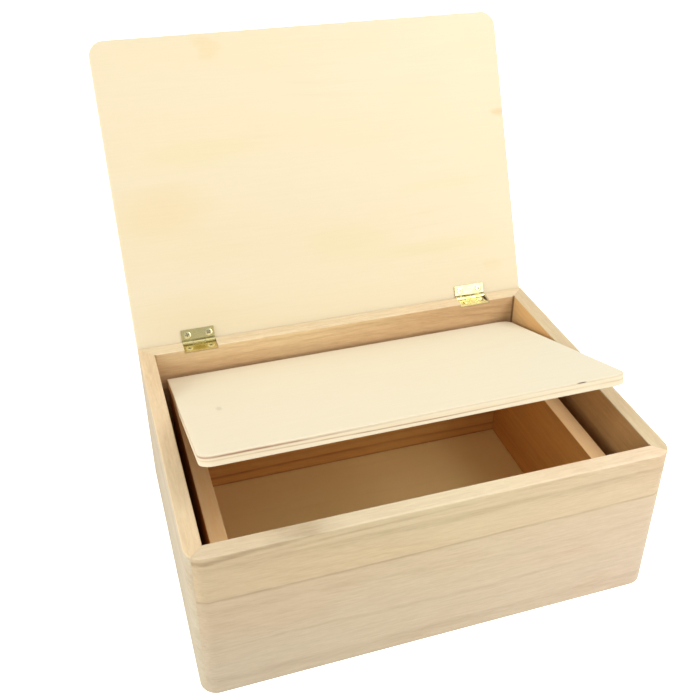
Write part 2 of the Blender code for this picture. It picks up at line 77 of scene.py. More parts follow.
class Tree:
    """A material under construction, with one method for each kind of node."""

    def __init__(self, name):
        self.material = bpy.data.materials.new(name)
        self.material.use_nodes = True
        self.nodes = self.material.node_tree.nodes
        self.links = self.material.node_tree.links
        self.shader = self.nodes["Principled BSDF"]
        self.place = self.nodes.new("ShaderNodeTexCoord").outputs["Object"]

    def feed(self, socket, value):
        if isinstance(value, bpy.types.NodeSocket):
            self.links.new(value, socket)
        elif isinstance(value, tuple) and len(value) == 3 and socket.type == "RGBA":
            socket.default_value = (*value, 1.0)
        else:
            socket.default_value = value

    def math(self, operation, a, b=0.0):
        node = self.nodes.new("ShaderNodeMath")
        node.operation = operation
        self.feed(node.inputs[0], a)
        self.feed(node.inputs[1], b)
        return node.outputs[0]

    def add(self, *terms):
        total = terms[0]
        for term in terms[1:]:
            total = self.math("ADD", total, term)
        return total

    def times(self, *terms):
        total = terms[0]
        for term in terms[1:]:
            total = self.math("MULTIPLY", total, term)
        return total

    def minus(self, a, b):
        return self.math("SUBTRACT", a, b)

    def split(self, vector):
        node = self.nodes.new("ShaderNodeSeparateXYZ")
        self.feed(node.inputs[0], vector)
        return node.outputs

    def join(self, x, y, z):
        node = self.nodes.new("ShaderNodeCombineXYZ")
        for socket, value in zip(node.inputs, (x, y, z)):
            self.feed(socket, value)
        return node.outputs[0]

    def noise(self, vector, stretch, detail=2.0, roughness=0.5, shift=(0.0, 0.0, 0.0)):
        """Noise from 0 to 1 whose grain is 1/stretch metres long on each axis."""
        mapping = self.nodes.new("ShaderNodeMapping")
        mapping.inputs["Scale"].default_value = stretch
        mapping.inputs["Location"].default_value = shift
        self.feed(mapping.inputs["Vector"], vector)
        node = self.nodes.new("ShaderNodeTexNoise")
        node.inputs["Scale"].default_value = 1.0
        node.inputs["Detail"].default_value = detail
        node.inputs["Roughness"].default_value = roughness
        self.links.new(mapping.outputs[0], node.inputs["Vector"])
        return node.outputs["Fac"]

    def sway(self, noise, reach):
        """Noise turned into a shift of up to half the reach either way."""
        return self.times(self.minus(noise, 0.5), reach)

    def remap(self, value, low, high, to_low=0.0, to_high=1.0, smooth=True):
        node = self.nodes.new("ShaderNodeMapRange")
        node.interpolation_type = "SMOOTHSTEP" if smooth else "LINEAR"
        for socket, number in zip(node.inputs, (value, low, high, to_low, to_high)):
            self.feed(socket, number)
        return node.outputs[0]

    def curve(self, value, points):
        node = self.nodes.new("ShaderNodeFloatCurve")
        curve = node.mapping.curves[0]
        curve.points[0].location = points[0]
        curve.points[1].location = points[-1]
        for point in points[1:-1]:
            curve.points.new(*point)
        node.mapping.update()
        self.feed(node.inputs["Value"], value)
        return node.outputs[0]

    def ramp(self, value, stops):
        node = self.nodes.new("ShaderNodeValToRGB")
        elements = node.color_ramp.elements
        while len(elements) < len(stops):
            elements.new(0.5)
        for element, (position, colour) in zip(elements, stops):
            element.position = position
            element.color = (*colour, 1.0)
        self.feed(node.inputs[0], value)
        return node.outputs["Color"]

    def mix(self, factor, a, b, blend="MIX"):
        node = self.nodes.new("ShaderNodeMix")
        node.data_type = "RGBA"
        node.blend_type = blend
        self.feed(node.inputs[0], factor)
        self.feed(node.inputs[6], a)
        self.feed(node.inputs[7], b)
        return node.outputs[2]

    def tint(self, factor, colour, stain):
        return self.mix(factor, colour, stain, "MULTIPLY")

    def hump(self, value, centre, below, above):
        """1 at the centre, falling smoothly to 0 this far below and above it."""
        off = self.minus(value, centre)
        rise = self.remap(off, -below, 0.0)
        fall = self.remap(off, 0.0, above, 1.0, 0.0)
        return self.times(rise, fall)

    def blot(self, x, y, place, size):
        """1 in the middle of an oval, falling smoothly to 0 at its rim."""
        off_x = self.math("DIVIDE", self.minus(x, place[0]), size[0])
        off_y = self.math("DIVIDE", self.minus(y, place[1]), size[1])
        away = self.math("SQRT", self.add(self.times(off_x, off_x), self.times(off_y, off_y)))
        return self.remap(away, BLOT_CORE, 1.0, 1.0, 0.0)

    def stripe(self, share, value, points, height, below, above):
        """A line along the grain. Each point is (share of the length, level, strength),
        and height is the greatest level a point may have."""
        level = self.curve(share, [(x, y / height) for x, y, _ in points])
        strength = self.curve(share, [(x, s) for x, _, s in points])
        return self.times(self.hump(value, self.times(level, height), below, above), strength)

    def bump(self, height, distance, strength):
        node = self.nodes.new("ShaderNodeBump")
        node.inputs["Distance"].default_value = distance
        node.inputs["Strength"].default_value = strength
        self.feed(node.inputs["Height"], height)
        self.links.new(node.outputs[0], self.shader.inputs["Normal"])

    def finish(self, colour, roughness, specular):
        self.feed(self.shader.inputs["Base Color"], colour)
        self.feed(self.shader.inputs["Roughness"], roughness)
        self.shader.inputs["Specular IOR Level"].default_value = specular
        return self.material


# ------------------------------------------------------------------ solid wood

WALL_LIGHT = srgb(219, 205, 172)
WALL_DARK = srgb(146, 113, 76)
FRONT_LIGHT = srgb(237, 212, 178)
DIVIDER_LIGHT = srgb(229, 166, 86)
BACK_DIVIDER_LIGHT = srgb(233, 182, 106)
INNER_DARK = srgb(161, 100, 48)
# The dividers' top edge colour, painted paler than their sides as lit from above
DIVIDER_LIT_TOP = srgb(236, 205, 156)
WOOD_SPECULAR = 0.35

# The tints below stand for the light of the photograph on each face. They are fixed to the
# object, so they stay as they are in another light
FACE_TINT = (0.83, 0.833, 0.823)
HIDDEN_FACE_TINT = (0.935, 0.90, 0.88)
LEFT_FACE_TINT = (0.775, 0.79, 0.825)
FRONT_RIM_TINT = (0.98, 1.02, 1.10)
BACK_RIM_TINT = (1.08, 1.04, 1.0)
LEFT_RIM_TINT = (1.13, 1.06, 1.0)
RIGHT_RIM_TINT = (0.91, 0.86, 0.80)
RIGHT_DIVIDER_RIM_TINT = (1.19, 1.22, 1.30)
# Painted shade: how the right-hand inner faces darken towards the front: share of the depth, tint
RIGHT_WALL_SHADE_DEPTHS = ((0.05, (0.48, 0.46, 0.42)), (0.10, (0.62, 0.60, 0.57)),
                     (0.16, (0.78, 0.77, 0.74)), (0.22, (0.90, 0.90, 0.88)),
                     (0.36, (1.04, 1.04, 1.02)), (0.70, (1.0, 1.0, 1.0)),
                     (0.97, (0.90, 0.99, 1.09)))
# Painted shade on the right divider, darker towards the front
RIGHT_DIVIDER_SHADE_DEPTHS = ((0.05, (0.52, 0.50, 0.46)), (0.14, (0.68, 0.66, 0.62)),
                        (0.26, (0.82, 0.81, 0.79)), (0.50, (0.96, 0.96, 0.95)))
BACK_INNER_TINT = (0.889, 0.721, 0.585)
SIDE_INNER_TINT = (0.93, 0.645, 0.38)
# Painted light: the back wall's inner face is lighter under its rim, towards the left: its tint,
# how far under the rim it ends and is full, and the shares of the length it fades between
BACK_INNER_PAINTED_LIGHT = (1.24, 1.36, 1.42)
PAINTED_LIGHT_END, PAINTED_LIGHT_FULL = 22 * MM, 4 * MM
PAINTED_LIGHT_SHARES = (0.35, 0.88)
# Painted shade in the inner corners: how far from the corner it begins and is full, where less
# than nothing is inside the box, and its strength on the left and on the right
CORNER_SHADE = srgb(92, 58, 34)
CORNER_SHADE_REACH = (-2.2 * MM, -0.5 * MM)
CORNER_SHADE_STRENGTH = (0.34, 0.62)

# Each stripe is a line of late wood, or painted shade where marked: its course as (share of the
# length, height in mm, strength), how far it fades below and above that course in mm, and how dark
# it is
FRONT_STRIPES = (
    (((0, 91, 0.8), (0.15, 90.8, 0.9), (0.35, 91, 0.9), (0.5, 91.7, 1), (0.75, 92.6, 1),
      (0.9, 93.2, 1), (1, 94, 0.6)), 2.4, 1.3, 0.29),
    (((0, 120, 0.3), (0.2, 119.5, 0.7), (0.35, 119, 1), (0.6, 118.4, 1), (0.85, 119, 1),
      (1, 119.5, 0.5)), 10, 1.8, 0.20),
    (((0, 125.5, 1), (0.1, 127.8, 1), (0.22, 130, 0.8), (0.32, 131, 0), (1, 131, 0)),
     3.5, 2.5, 0.44),
    (((0, 122, 0), (0.16, 123.3, 0.3), (0.28, 124.8, 1), (0.42, 125.4, 1), (0.5, 126, 0.4),
      (0.62, 127, 0.3), (0.76, 129.5, 0.4), (0.85, 131, 0), (1, 131, 0)), 2.2, 1.6, 0.26),
    (((0, 45, 0.5), (0.2, 44.5, 0.8), (0.35, 42.5, 1), (0.5, 41.3, 1), (0.62, 40.5, 0.9),
      (0.75, 43, 0.8), (1, 45, 0.6)), 3.2, 3, 0.14),
    (((0, 80, 0.8), (0.25, 79, 1), (0.4, 75, 0.9), (0.5, 72, 0.8), (0.62, 68, 1), (0.85, 67, 1),
      (1, 69, 0.6)), 4, 4, 0.09),
    (((0, 14, 1), (0.5, 12, 0.9), (1, 13, 0.8)), 9, 5, 0.15),
    (((0, 57, 0), (0.4, 56, 0.6), (0.8, 56.5, 1), (1, 57, 0.6)), 3, 3, 0.04),
    (((0, 28, 0.6), (0.5, 27, 1), (1, 28, 0.5)), 2.5, 2.5, 0.04))
BACK_STRIPES = (
    (((0, 117, 0.4), (0.3, 119, 0.8), (0.6, 123.5, 1), (0.78, 120, 1), (1, 112, 0.7)),
     2.5, 1.5, 0.20),
    (((0, 125, 0.3), (0.45, 127, 0.9), (0.75, 126, 0.8), (1, 121, 0.6)), 4, 1.5, 0.15),
    # Late wood, and the painted shadow of the tilt board along the back wall's inner face
    (((0, 108, 0.8), (0.5, 107, 1), (1, 108.5, 0.8)), 4, 3, 0.26),
    (((0, 64, 0.8), (0.5, 60, 1), (1, 66, 0.8)), 6, 2, 0.16),
    (((0, 31, 0.8), (0.5, 35, 1), (1, 29, 0.8)), 5, 2, 0.16))
BACK_DIVIDER_STRIPES = (
    # Painted shade along the foot of the back divider, where it meets the floor
    (((0, 4.6, 0.9), (1, 4.6, 1)), 1.5, 2, 0.55),
    (((0, 13, 0.9), (0.5, 15, 1), (1, 12, 0.8)), 3, 1.5, 0.40),
    (((0, 26, 0.5), (0.5, 24, 0.9), (1, 28, 0.6)), 5, 2, 0.22),
    (((0, 55, 0.8), (1, 60, 0.8)), 6, 3, 0.2))
# Painted light and shade across the front: the axis, and stops of (share of the length or height,
# tint)
FRONT_PAINTED_LIGHT_TONES = (
    ("X", ((0.0, (0.81, 0.84, 0.88)), (0.5, (0.89, 0.925, 0.945)), (1.0, (0.99, 1.0, 1.08)))),
    ("Z", ((0.2, (0.96, 0.985, 1.0)), (0.45, (0.965, 0.975, 0.955)), (0.69, (0.965, 0.975, 0.93)),
           (0.72, (1.0, 1.0, 0.90)), (1.0, (0.985, 0.99, 0.885)))))


def solid_wood(name, grain, seed, light, dark, stripes=(), figure=0.16, tones=(),
               inner_tint=None, rim_tint=WHITE, fine=1.0, face_tint=FACE_TINT,
               inner_shade_tones=(), inner_painted_light=None):
    """Soft, pale, straight-grained wood whose grain runs along the axis named.

    figure is how dark its growth lines are, and fine how strong its fibres are. The seed
    picks the piece of wood. tones are stops of tint along an axis, over the whole piece.
    A wall takes the face tint outside, the inner tint inside and the rim tint on top, which paint
    the light and shade on each face; without an inner tint this is a divider, and the rim tint is
    for its top edge, painted paler as lit from above. The inner shade tones are stops along the
    grain of painted shade on the inner face, or on the whole divider below its top edge. The inner
    painted light takes their place, and paints light on the inner face under the rim."""
    tree = Tree(name)
    x, y, z = tree.split(tree.place)
    along, depth = (x, y) if grain == "X" else (y, x)
    half = HALF_LENGTH if grain == "X" else HALF_DEPTH
    shifted = tree.join(tree.add(along, seed * 0.731), z, tree.add(depth, seed * 0.377))

    wander = tree.noise(shifted, (2.4, 6.0, 6.0))
    ripple = tree.noise(shifted, (16.0, 60.0, 60.0))
    level = tree.add(z, tree.sway(wander, 2.0 * MM), tree.sway(ripple, 1.2 * MM))
    ring = tree.add(z, tree.sway(wander, 20 * MM), tree.sway(ripple, 1.5 * MM),
                    tree.times(depth, 0.3))
    flat = tree.join(tree.add(along, seed * 0.53), ring, seed * 0.19)

    growth = tree.remap(tree.noise(flat, (1.3, 60.0, 1.0), 3.0, 0.6), 0.38, 0.70)
    lines = tree.remap(tree.noise(flat, (3.5, 310.0, 1.0), 3.0, 0.6), 0.42, 0.72)
    fibre = tree.noise(shifted, (60.0, 760.0, 760.0), 3.0, 0.65)
    mottle = tree.noise(shifted, (240.0, 620.0, 620.0), 2.0, 0.6, (0.0, 5.0, 0.0))
    pore = tree.remap(tree.noise(shifted, (80.0, 3200.0, 3200.0), 1.0), 0.64, 0.76)
    slant = tree.join(along, tree.add(z, tree.times(along, 0.22)), tree.add(depth, seed))
    flame = tree.remap(tree.noise(slant, (40.0, 330.0, 330.0), 2.0, 0.6), 0.35, 0.70)
    patch = tree.noise(shifted, (6.0, 16.0, 16.0))
    flame = tree.times(flame, tree.remap(patch, 0.40, 0.62, 0.25, 1.0))

    darkness = tree.add(tree.times(growth, figure), tree.times(lines, figure * 0.55),
                        tree.times(tree.remap(fibre, 0.3, 0.7), 0.12 * fine),
                        tree.times(flame, 0.07 * fine), tree.times(mottle, 0.10 * fine),
                        tree.times(pore, 0.10))
    share = tree.remap(along, -half, half, smooth=False)
    fleck = tree.remap(tree.noise(flat, (16.0, 200.0, 1.0), 3.0, 0.6, (3.0, 1.0, 0.0)),
                       0.30, 0.66, 0.55, 1.15)
    for points, below, above, strength in stripes:
        course = tree.stripe(share, level, [(a, h * MM, s) for a, h, s in points], BOX_HEIGHT,
                             below * MM, above * MM)
        darkness = tree.add(darkness, tree.times(course, fleck, strength))
    colour = tree.mix(darkness, light, dark)
    colour = tree.tint(tree.remap(patch, 0.44, 0.66, 0.0, 0.8), colour, (1.0, 0.95, 0.925))
    # Painted light and shade across the whole piece, as tints along an axis
    for axis, stops in tones:
        position = share if axis == "X" else tree.remap(z, 0.0, BOX_HEIGHT, smooth=False)
        colour = tree.tint(1.0, colour, tree.ramp(position, stops))
    # Painted shade along the grain of the inner face, or of a divider below its top
    inner_light_and_shade = tree.ramp(share, inner_shade_tones) if inner_shade_tones else WHITE
    # Painted light on the inner face under the rim, in place of the painted shade
    if inner_painted_light:
        lit = tree.times(tree.remap(z, BOX_HEIGHT - PAINTED_LIGHT_END, BOX_HEIGHT - PAINTED_LIGHT_FULL),
                         tree.remap(share, *PAINTED_LIGHT_SHARES, 1.0, 0.0))
        inner_light_and_shade = tree.mix(lit, WHITE, inner_painted_light)
    if inner_tint:
        across_x = tree.minus(tree.math("ABSOLUTE", x), INNER_X)
        across_y = tree.minus(tree.math("ABSOLUTE", y), INNER_Y)
        edge = tree.math("MAXIMUM", across_x, across_y)
        inside = tree.remap(edge, 0.1 * MM, 0.7 * MM, 1.0, 0.0)
        # Painted shade in the inner corners, where two walls meet
        corner_shade = tree.times(
            tree.remap(tree.math("MINIMUM", across_x, across_y), *CORNER_SHADE_REACH),
            tree.remap(x, -SIDE_BLEND, SIDE_BLEND, *CORNER_SHADE_STRENGTH))
        face = tree.remap(z, BOX_HEIGHT - 1.3 * MM, BOX_HEIGHT - 0.3 * MM, 1.0, 0.0)
        colour = tree.tint(1.0, colour, tree.mix(
            face, rim_tint, tree.mix(inside, face_tint, tree.tint(1.0, inner_tint, inner_light_and_shade))))
        colour = tree.mix(tree.times(inside, corner_shade), colour, CORNER_SHADE)
    else:
        # The divider's top edge takes painted light, paler than its sides
        top = tree.remap(z, DIVIDER_TOP - 0.9 * MM, DIVIDER_TOP - 0.3 * MM)
        lit_rim = tree.tint(1.0, tree.mix(darkness, DIVIDER_LIT_TOP, light), rim_tint)
        colour = tree.mix(top, tree.tint(1.0, colour, inner_light_and_shade), lit_rim)

    tree.bump(tree.minus(fibre, pore), 0.06 * MM, 0.5)
    return tree.finish(colour, tree.remap(fibre, 0.2, 0.8, 0.52, 0.72), WOOD_SPECULAR)


# --------------------------------------------------------------------- plywood

# Colours of each sheet: its face, its warmer figure, its glue and its inner ply
LID_COLOURS = (srgb(218, 205, 175), srgb(219, 201, 160), srgb(170, 128, 84),
               srgb(212, 181, 138))
BOARD_COLOURS = (srgb(230, 220, 195), srgb(229, 216, 186), srgb(140, 96, 68),
                 srgb(222, 200, 162))
FLOOR_COLOURS = (srgb(255, 228, 164), srgb(248, 214, 149), srgb(196, 151, 104),
                 srgb(220, 180, 130))
BOARD_EDGE_TINT = (0.93, 0.90, 0.85)
BOARD_TONES = ((0.0, (1.0, 0.995, 0.985)), (1.0, (0.985, 1.0, 1.0)))
# Height of each sheet's underside over its pin when it lies flat
LID_OVER_PIN = 2.0 * MM
BOARD_OVER_PIN = 0.25 * MM
# A blot narrower than this, in mm, keeps a smooth outline
SMALL_BLOT = 5

# Each blot in a face veneer: its place in mm, its size in mm, its stain and strength.
# The place is measured along the sheet and away from its pin
LID_BLOTS = (
    ((-138, 112), (56, 30), (1.0, 0.945, 0.85), 0.75),
    ((-100, 155), (70, 17), (0.99, 0.985, 0.88), 0.6),
    ((20, 65), (62, 20), (0.985, 0.98, 0.87), 0.6),
    ((95, 50), (90, 9), (0.98, 0.97, 0.86), 0.6),
    ((110, 105), (60, 7), (0.985, 0.98, 0.87), 0.5),
    ((-84, 238), (13, 14), (0.98, 0.90, 0.74), 0.5),
    ((169, 163), (10, 4), (0.90, 0.78, 0.58), 0.6),
    ((-130, 25), (75, 26), (0.99, 0.96, 0.88), 0.5),
    ((152, 28), (14, 9), (1.0, 0.92, 0.79), 0.4))
BOARD_BLOTS = (((-127.7, 107), (3.2, 7.0), (0.80, 0.80, 0.78), 0.75),)

# Glue lines on the edges of a sheet, one also painted shade on an eased edge, as stripes of (share
# of the length, share of the thickness, strength), with the shares they fade over, and how strong
# they are
LID_PLIES = (
    (((0, 0.24, 0.8), (0.3, 0.26, 0.4), (0.7, 0.24, 0.9), (1, 0.25, 0.6)), 0.04, 0.07, 0.55),
    (((0, 0.50, 0.6), (0.4, 0.48, 0.9), (0.8, 0.50, 0.5), (1, 0.50, 0.8)), 0.05, 0.05, 0.5),
    (((0, 0.75, 0.8), (0.5, 0.76, 0.5), (1, 0.74, 0.9)), 0.07, 0.04, 0.55))
BOARD_PLIES_AND_EDGE_SHADE = (
    # A glue line, widened upwards into painted shade on the board's eased top edge
    (((0, 0.79, 0.9), (0.12, 0.79, 1), (0.28, 0.79, 0.75), (0.42, 0.82, 0.3), (0.55, 0.90, 0.22),
      (0.8, 0.92, 0.3), (1, 0.92, 0.25)), 0.14, 0.20, 0.85),
    (((0, 0.50, 0.3), (0.15, 0.48, 0.4), (0.3, 0.42, 0.8), (0.45, 0.36, 1), (0.6, 0.37, 0.6),
      (0.8, 0.5, 0.4), (1, 0.5, 0.35)), 0.07, 0.11, 0.80))
# The crack in the board's front edge: its place along the sheet, its level as a share of
# the thickness, and its distance from the pin
BOARD_CRACK = (119 * MM, 0.97, 201.4 * MM)
CRACK = srgb(62, 38, 20)


def plywood(name, pin, angle, bottom, thickness, colours, seed, figure=1.0, blots=(), ply_lines_and_edge_shade=(),
            crack=None, tones=None, blots_above=True, edge_tint=WHITE,
            figure_above=None):
    """Plywood whose plies show on its edges. The sheet is turned about a pin along X.

    bottom is the height of its underside over the pin before it is turned. colours are
    its face, its warmer figure, its glue and its inner ply, and figure is how strong that
    figure is, or figure_above on the upper face. The blots are on its upper face, or on its
    underside when blots_above is false. The ply lines are the glue lines on its edges, one of
    which also paints shade on an eased edge; they take the edge tint, and tones are stops of
    tint along the pin."""
    face, warm, glue, core = colours
    tree = Tree(name)
    turn = tree.nodes.new("ShaderNodeVectorRotate")
    turn.rotation_type = "X_AXIS"
    turn.inputs["Center"].default_value = (0.0, pin[1], pin[2])
    turn.inputs["Angle"].default_value = angle
    tree.feed(turn.inputs["Vector"], tree.place)
    x, y, z = tree.split(turn.outputs[0])
    away = tree.minus(pin[1], y)
    level = tree.math("DIVIDE", tree.minus(z, pin[2] + bottom), thickness)
    share = tree.remap(x, -HALF_LENGTH, HALF_LENGTH, smooth=False)
    flat = tree.join(tree.add(x, seed * 0.41), tree.add(y, seed * 0.23), seed)

    wander = tree.noise(flat, (2.4, 5.0, 1.0), 3.0)
    bent = tree.join(x, tree.add(y, tree.times(wander, 0.06)), seed * 1.7)
    cloud = tree.remap(tree.noise(bent, (3.0, 15.0, 1.0), 3.0), 0.38, 0.68)
    lines = tree.remap(tree.noise(bent, (7.0, 170.0, 1.0), 2.0, 0.55, (7.0, 3.0, 0.0)), 0.56, 0.78)
    faint = tree.remap(tree.noise(flat, (4.0, 9.0, 1.0), 2.0), 0.45, 0.65)
    fibre = tree.noise(flat, (26.0, 1400.0, 1.0), 2.0, 0.6)
    if figure_above:
        figure = tree.remap(level, 0.4, 0.6, figure, figure_above)
    veneer = tree.mix(tree.times(cloud, tree.times(figure, 0.35)), face, warm)
    veneer = tree.mix(tree.times(lines, faint, tree.times(figure, 0.10)), veneer, glue)
    veneer = tree.mix(tree.times(tree.remap(fibre, 0.35, 0.7), 0.03), veneer, glue)
    ragged_x = tree.add(x, tree.sway(tree.noise(flat, (22.0, 60.0, 1.0), 3.0, 0.6), 40 * MM))
    ragged_y = tree.add(away, tree.sway(tree.noise(flat, (18.0, 50.0, 2.0), 3.0, 0.6), 10 * MM))
    blotted = tree.remap(level, 0.4, 0.6) if blots_above else tree.remap(level, 0.4, 0.6, 1.0, 0.0)
    for place, size, stain, strength in blots:
        small = size[0] < SMALL_BLOT
        mask = tree.blot(x if small else ragged_x, away if small else ragged_y,
                         [v * MM for v in place], [v * MM for v in size])
        veneer = tree.tint(tree.times(mask, blotted, strength), veneer, stain)

    shake = tree.noise(tree.join(x, y, seed), (30.0, 30.0, 1.0), 3.0, 0.6)
    wavy = tree.add(level, tree.sway(shake, 0.05))
    streaks = tree.noise(tree.join(x, y, z), (60.0, 60.0, 1500.0), 3.0, 0.6)
    inner_ply = tree.hump(level, 0.5, 0.32, 0.32)
    colour = tree.mix(tree.times(inner_ply, 0.5), veneer,
                      tree.mix(tree.remap(streaks, 0.35, 0.7), core, warm))
    on_edge = tree.times(tree.remap(level, 0.004, 0.03), tree.remap(level, 0.975, 0.999, 1.0, 0.0))
    colour = tree.tint(on_edge, colour, edge_tint)
    uneven = tree.remap(tree.noise(tree.join(x, y, level), (26.0, 26.0, 2.0), 3.0, 0.6),
                        0.30, 0.62, 0.5, 1.1)
    # Glue lines, and painted shade on an eased edge
    for points, below, above, strength in ply_lines_and_edge_shade:
        line = tree.stripe(share, wavy, points, 1.0, below, above)
        colour = tree.mix(tree.times(line, uneven, on_edge, strength), colour, glue)
    if crack:
        crack_x, crack_level, crack_end = crack
        off_x = tree.math("ABSOLUTE", tree.minus(x, crack_x))
        near_x = tree.remap(off_x, 1.5 * MM, 4.8 * MM, 1.0, 0.0)
        off_z = tree.math("ABSOLUTE", tree.minus(wavy, crack_level))
        near_z = tree.remap(off_z, 0.02, 0.06, 1.0, 0.0)
        front = tree.remap(away, crack_end - 0.3 * MM, crack_end)
        colour = tree.mix(tree.times(near_x, near_z, front, 0.9), colour, CRACK)
    if tones:
        colour = tree.tint(1.0, colour, tree.ramp(share, tones))
    tree.bump(fibre, 0.05 * MM, 0.4)
    return tree.finish(colour, tree.remap(fibre, 0.2, 0.8, 0.50, 0.68), WOOD_SPECULAR)


# ----------------------------------------------------------------------- brass

BRASS = (0.74, 0.66, 0.33)
SCREW_BRASS = (0.90, 0.82, 0.50)
# Colour of dirt and of painted shade on the brass
BRASS_DIRT_AND_SHADE = srgb(70, 50, 8)
BRASS_SPECULAR = 0.1
# Painted reflections on the box leaves in front of the barrel
# The box leaves of the left and of the right hinge, which reflect different things in the
# photograph
BOX_LEAF_PAINTED_REFLECTIONS = ((0.70, 0.57, 0.28), (0.80, 0.74, 0.46))
# Painted shade in the fold beside the barrel: its distance from the pin, and how far it fades
# inwards and outwards
FOLD_RADIUS, FOLD_INWARDS, FOLD_OUTWARDS = 2.3 * MM, 0.6 * MM, 1.5 * MM

# Painted dark reflections on the left box leaf and painted shadow at the right end of the right
# one: place in mm, size in mm, stain, strength, and how far it turns to the dark matt colour
PAINTED_LEAF_PATCHES = (
    ((-124, 117), (10, 5.5), (0.40, 0.28, 0.05), 0.85, 0.0),
    ((-137.5, 117), (3.0, 6.0), (0.40, 0.28, 0.08), 0.8, 0.0),
    ((137.4, 120.5), (3.8, 6.5), (0.16, 0.08, 0.02), 1.0, 1.0),
)


def brass(name, colour, low, high, seed, recess_dirt_and_shade=0.0, painted_reflection=None, fold_shade=0.0, painted_patches=()):
    """Lacquered brass, polished by use in some places and duller in others.

    low and high are its least and greatest roughness. The recess weight darkens its recesses
    with dirt and painted shade, the fold weight paints shade in the fold beside the lid hinges'
    barrels, and the reflection pair is the left and right hinge's colour in front of the barrel,
    where a leaf is let into the rim, painted as the reflections they show. The patches are
    painted dark reflections and shadow, and their last column makes them less metallic."""
    tree = Tree(name)
    wear = tree.noise(tree.place, (160.0, 160.0, 160.0), 3.0, 0.6, (seed, 0.0, 0.0))
    scratch = tree.noise(tree.place, (900.0, 9000.0, 9000.0), 2.0, 0.5, (seed, 0.0, 0.0))
    x, y, z = tree.split(tree.place)
    colour = tree.tint(tree.remap(wear, 0.45, 0.75), colour, (0.82, 0.80, 0.70))
    # Painted reflection in front of the barrel, a different colour on each hinge
    if painted_reflection:
        front = tree.remap(y, HALF_DEPTH - 3.2 * MM, HALF_DEPTH - 2.6 * MM, 1.0, 0.0)
        side = tree.remap(x, -SIDE_BLEND, SIDE_BLEND)
        colour = tree.mix(front, colour, tree.mix(side, *painted_reflection))
    dirt_and_shade = 0.0
    if recess_dirt_and_shade:
        # Dirt and painted shade in the recesses, found by occlusion
        shade = tree.nodes.new("ShaderNodeAmbientOcclusion")
        shade.only_local = True
        shade.inputs["Distance"].default_value = 0.9 * MM
        dirt_and_shade = tree.add(dirt_and_shade, tree.remap(shade.outputs["AO"], 0.45, 0.9, recess_dirt_and_shade, 0.0))
    # Painted shade in the fold beside the lid hinges' barrels
    if fold_shade:
        pin = JOINTS["lid_hinge"]["pos_m"]
        off_y, off_z = tree.minus(y, pin[1]), tree.minus(z, pin[2])
        out = tree.math("SQRT", tree.add(tree.times(off_y, off_y), tree.times(off_z, off_z)))
        uneven = tree.remap(tree.noise(tree.place, (170.0, 170.0, 170.0), 3.0, 0.6,
                                       (seed + 4.0, 0.0, 0.0)), 0.35, 0.6, 0.5, 1.0)
        band = tree.hump(out, FOLD_RADIUS, FOLD_INWARDS, FOLD_OUTWARDS)
        dirt_and_shade = tree.add(dirt_and_shade, tree.times(band, uneven, fold_shade))
    # Painted dark reflections and shadow on the box leaves
    for place, size, stain, strength, matt in painted_patches:
        mask = tree.blot(x, y, [v * MM for v in place], [v * MM for v in size])
        colour = tree.mix(tree.times(mask, strength), colour, stain)
        dirt_and_shade = tree.add(dirt_and_shade, tree.times(mask, matt))
    # The dark colour paints dirt and shade, and turns the brass matt where it lies
    if recess_dirt_and_shade or fold_shade or painted_patches:
        colour = tree.mix(dirt_and_shade, colour, BRASS_DIRT_AND_SHADE)
        tree.feed(tree.shader.inputs["Metallic"],
                  tree.remap(dirt_and_shade, 0.0, 1.0, 1.0, 0.0, smooth=False))
    else:
        tree.shader.inputs["Metallic"].default_value = 1.0
    tree.bump(tree.add(wear, tree.times(scratch, 0.5)), 0.03 * MM, 0.35)
    return tree.finish(colour, tree.remap(wear, 0.3, 0.75, low, high), BRASS_SPECULAR)


# -------------------------------------------------------------------- painting

def paint(names, material):
    for name in names:
        for slot in frame["nodes"][name].material_slots:
            slot.material = material


def paint_wood():
    paint(["front_panel"], solid_wood(
        "wood_front", "X", 1.0, FRONT_LIGHT, WALL_DARK, FRONT_STRIPES, figure=0.035,
        tones=FRONT_PAINTED_LIGHT_TONES, inner_tint=SIDE_INNER_TINT, rim_tint=FRONT_RIM_TINT))
    paint(["back_panel"], solid_wood(
        "wood_back", "X", 2.0, WALL_LIGHT, WALL_DARK, BACK_STRIPES, figure=0.10,
        inner_tint=BACK_INNER_TINT, inner_painted_light=BACK_INNER_PAINTED_LIGHT, rim_tint=BACK_RIM_TINT,
        fine=1.5, face_tint=HIDDEN_FACE_TINT))
    paint(["left_panel"], solid_wood(
        "wood_left", "Y", 3.0, WALL_LIGHT, WALL_DARK, figure=0.14,
        inner_tint=SIDE_INNER_TINT, rim_tint=LEFT_RIM_TINT, face_tint=LEFT_FACE_TINT))
    paint(["right_panel"], solid_wood(
        "wood_right", "Y", 4.0, WALL_LIGHT, WALL_DARK, figure=0.20,
        inner_tint=SIDE_INNER_TINT, rim_tint=RIGHT_RIM_TINT, face_tint=HIDDEN_FACE_TINT,
        inner_shade_tones=RIGHT_WALL_SHADE_DEPTHS))
    paint(["left_divider"], solid_wood(
        "wood_left_divider", "Y", 5.0, DIVIDER_LIGHT, INNER_DARK, figure=0.22))
    paint(["right_divider"], solid_wood(
        "wood_right_divider", "Y", 6.0, DIVIDER_LIGHT, INNER_DARK, figure=0.22,
        rim_tint=RIGHT_DIVIDER_RIM_TINT, inner_shade_tones=RIGHT_DIVIDER_SHADE_DEPTHS))
    paint(["back_divider"], solid_wood(
        "wood_back_divider", "X", 7.0, BACK_DIVIDER_LIGHT, INNER_DARK,
        BACK_DIVIDER_STRIPES, figure=0.16))


